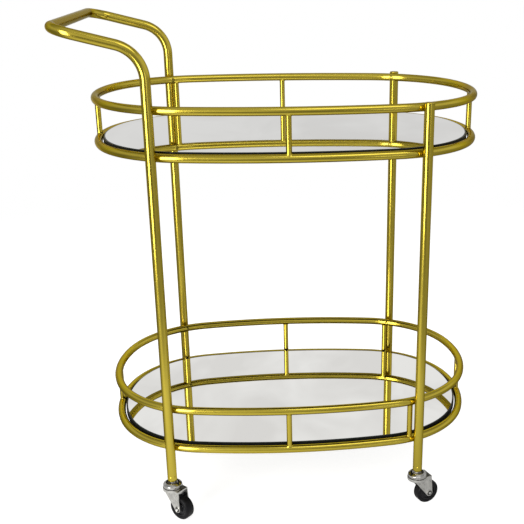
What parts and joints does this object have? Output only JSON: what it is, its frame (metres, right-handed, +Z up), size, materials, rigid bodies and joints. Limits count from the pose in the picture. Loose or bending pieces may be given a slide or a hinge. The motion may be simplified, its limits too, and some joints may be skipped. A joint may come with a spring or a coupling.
{
  "type": "bar cart on wheels",
  "caption": "Oval bar cart in gold-painted bent tube with mirrored galleried shelves, a raised push handle and swivel casters.",
  "frame": {"origin": "on the floor, under the middle of the whole cart's box, with the handle's overhang counted", "axes": "+Z up; +X along the trays, away from the push handle; +Y across the trays towards the back, away from the viewer"},
  "size_m": [0.7985, 0.5342, 0.9683],
  "materials": {
    "gold_paint": "satin metallic gold powder coat",
    "mirror": "silvered glass, clean and flat",
    "black_board": "black painted fibreboard edge",
    "zinc": "bright zinc plating, slightly worn",
    "steel": "bright ball and bush steel",
    "black_plastic": "moulded black nylon",
    "black_rubber": "matt black tread"
  },
  "bodies": {
    "frame": {"handle_frame": "gold_paint", "leg_front_right": "gold_paint", "leg_back_right": "gold_paint", "leg_caps": "gold_paint", "leg_bolts": "gold_paint", "leg_nuts": "zinc", "foot_plugs": "zinc", "upper_rail": "gold_paint", "upper_ring": "gold_paint", "upper_posts": "gold_paint", "upper_bars": "gold_paint", "upper_board": "black_board", "upper_mirror": "mirror", "upper_screws": "zinc", "lower_rail": "gold_paint", "lower_ring": "gold_paint", "lower_posts": "gold_paint", "lower_bars": "gold_paint", "lower_board": "black_board", "lower_mirror": "mirror", "lower_screws": "zinc", "stem_fl": "zinc", "race_cap_fl": "zinc", "balls_fl": "steel", "washer_fl": "zinc", "stem_fr": "zinc", "race_cap_fr": "zinc", "balls_fr": "steel", "washer_fr": "zinc", "stem_bl": "zinc", "race_cap_bl": "zinc", "balls_bl": "steel", "washer_bl": "zinc", "stem_br": "zinc", "race_cap_br": "zinc", "balls_br": "steel", "washer_br": "zinc"},
    "caster_front_left": {"fork_fl": "zinc", "axle_fl": "zinc"},
    "wheel_front_left": {"hub_fl": "black_plastic", "tyre_fl": "black_rubber", "bush_fl": "steel"},
    "caster_front_right": {"fork_fr": "zinc", "axle_fr": "zinc"},
    "wheel_front_right": {"hub_fr": "black_plastic", "tyre_fr": "black_rubber", "bush_fr": "steel"},
    "caster_back_left": {"fork_bl": "zinc", "axle_bl": "zinc"},
    "wheel_back_left": {"hub_bl": "black_plastic", "tyre_bl": "black_rubber", "bush_bl": "steel"},
    "caster_back_right": {"fork_br": "zinc", "axle_br": "zinc"},
    "wheel_back_right": {"hub_br": "black_plastic", "tyre_br": "black_rubber", "bush_br": "steel"}
  },
  "joints": [
    {"name": "front_left_swivel", "type": "hinge", "parent": "frame", "child": "caster_front_left", "pos_m": [-0.23016, -0.23029, 0.064], "axis": [0, 0, 1], "continuous": true},
    {"name": "front_left_roll", "type": "hinge", "parent": "caster_front_left", "child": "wheel_front_left", "pos_m": [-0.21254, -0.24508, 0.025], "axis": [0.6428, 0.766, 0], "continuous": true},
    {"name": "front_right_swivel", "type": "hinge", "parent": "frame", "child": "caster_front_right", "pos_m": [0.26866, -0.23029, 0.064], "axis": [0, 0, 1], "continuous": true},
    {"name": "front_right_roll", "type": "hinge", "parent": "caster_front_right", "child": "wheel_front_right", "pos_m": [0.2895, -0.22057, 0.025], "axis": [-0.4226, 0.9063, 0], "continuous": true},
    {"name": "back_left_swivel", "type": "hinge", "parent": "frame", "child": "caster_back_left", "pos_m": [-0.23016, 0.23029, 0.064], "axis": [0, 0, 1], "continuous": true},
    {"name": "back_left_roll", "type": "hinge", "parent": "caster_back_left", "child": "wheel_back_left", "pos_m": [-0.21254, 0.24508, 0.025], "axis": [-0.6428, 0.766, 0], "continuous": true},
    {"name": "back_right_swivel", "type": "hinge", "parent": "frame", "child": "caster_back_right", "pos_m": [0.26866, 0.23029, 0.064], "axis": [0, 0, 1], "continuous": true},
    {"name": "back_right_roll", "type": "hinge", "parent": "caster_back_right", "child": "wheel_back_right", "pos_m": [0.2895, 0.22057, 0.025], "axis": [0.4226, 0.9063, 0], "continuous": true}
  ]
}
